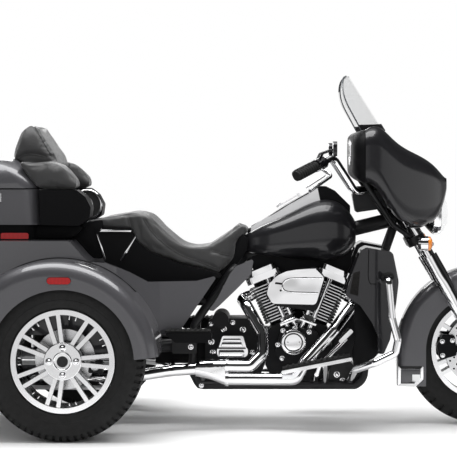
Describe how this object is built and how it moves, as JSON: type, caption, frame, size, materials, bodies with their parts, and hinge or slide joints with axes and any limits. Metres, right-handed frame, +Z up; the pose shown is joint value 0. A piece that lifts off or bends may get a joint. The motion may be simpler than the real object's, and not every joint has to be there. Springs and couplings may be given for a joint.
{
  "type": "touring trike motorcycle",
  "caption": "Three-wheeled touring motorcycle with steered front fork and bat-wing fairing, V-twin engine, broad rear fenders round a hollow boot, and a hinged luggage box behind the seats",
  "frame": {"origin": "On the ground, under the middle of the vehicle's length and width", "axes": "+X forward, +Y to the rider's left, +Z up"},
  "size_m": [2.68, 1.398, 1.437],
  "materials": {
    "tyre": "matt rubber",
    "cast_alloy": "polished and black",
    "black_metal": "satin black",
    "chrome": "bright plated",
    "grey_paint": "gloss dark grey",
    "silver_paint": "satin silver",
    "leather": "black grained",
    "black_plastic": "matt black",
    "red_lens": "clear red",
    "amber_lens": "clear amber",
    "clear_screen": "clear",
    "rubber": "matt"
  },
  "bodies": {
    "chassis": {"frame": "black_metal", "rear_axle": "black_metal", "rear_calipers": "black_metal", "swingarm": "black_metal", "rear_shocks": "black_metal", "engine_cases": "black_metal", "cylinders": "black_metal", "rocker_covers": "chrome", "cam_cover": "chrome", "air_cleaner_base": "black_metal", "air_cleaner_cover": "chrome", "transmission_case": "black_metal", "transmission_cover": "chrome", "primary_cover": "chrome", "exhaust_headers": "chrome", "muffler_right": "chrome", "muffler_left": "chrome", "fuel_tank": "grey_paint", "tank_console": "silver_paint", "seat": "leather", "seat_skirt": "black_plastic", "trunk_body": "grey_paint", "rear_lamps": "red_lens", "rear_fenders": "grey_paint", "side_panels": "grey_paint", "rear_bumper": "grey_paint", "tour_base": "black_plastic", "tour_tub": "grey_paint", "speaker_pods": "black_plastic", "foot_boards": "chrome", "brake_pedal": "chrome", "engine_guard": "chrome", "lower_fairings": "grey_paint"},
    "front_end": {"fork_legs": "chrome", "front_calipers": "black_metal", "front_fender": "grey_paint", "inner_fairing": "black_plastic", "outer_fairing": "grey_paint", "windshield": "clear_screen", "headlamp": "chrome", "headlamp_lens": "clear_screen", "handlebar": "chrome", "fork_yokes": "black_metal", "light_bar": "chrome", "turn_lenses": "amber_lens", "grips": "rubber", "hand_controls": "chrome"},
    "front_wheel": {"front_tyre": "tyre", "front_rim": "cast_alloy"},
    "rear_wheel_right": {"rear_tyre_right": "tyre", "rear_rim_right": "cast_alloy"},
    "rear_wheel_left": {"rear_tyre_left": "tyre", "rear_rim_left": "cast_alloy"},
    "luggage_lid": {"tour_lid": "grey_paint", "backrest": "leather"},
    "boot_lid": {"tailgate": "grey_paint"},
    "filler_flap": {"fuel_door": "silver_paint"}
  },
  "joints": [
    {"name": "steering", "type": "hinge", "parent": "chassis", "child": "front_end", "pos_m": [0.673, 0, 0.9], "axis": [-0.4384, 0, 0.8988], "range_deg": [-28, 28]},
    {"name": "front_wheel_spin", "type": "hinge", "parent": "front_end", "child": "front_wheel", "pos_m": [1.013, 0, 0.31], "axis": [0, 1, 0], "continuous": true},
    {"name": "rear_wheel_right_spin", "type": "hinge", "parent": "chassis", "child": "rear_wheel_right", "pos_m": [-0.657, -0.56, 0.315], "axis": [0, 1, 0], "continuous": true},
    {"name": "rear_wheel_left_spin", "type": "hinge", "parent": "chassis", "child": "rear_wheel_left", "pos_m": [-0.657, 0.56, 0.315], "axis": [0, 1, 0], "continuous": true},
    {"name": "luggage_lid_hinge", "type": "hinge", "parent": "chassis", "child": "luggage_lid", "pos_m": [-1.02, 0.344, 0.978], "axis": [-1, 0, 0], "range_deg": [0, 70]},
    {"name": "boot_lid_hinge", "type": "hinge", "parent": "chassis", "child": "boot_lid", "pos_m": [-1.319, 0, 0.418], "axis": [0, -1, 0], "range_deg": [0, 85]},
    {"name": "filler_flap_hinge", "type": "hinge", "parent": "chassis", "child": "filler_flap", "pos_m": [0.25625, 0, 0.95048], "axis": [0, 1, 0], "range_deg": [0, 80]}
  ]
}
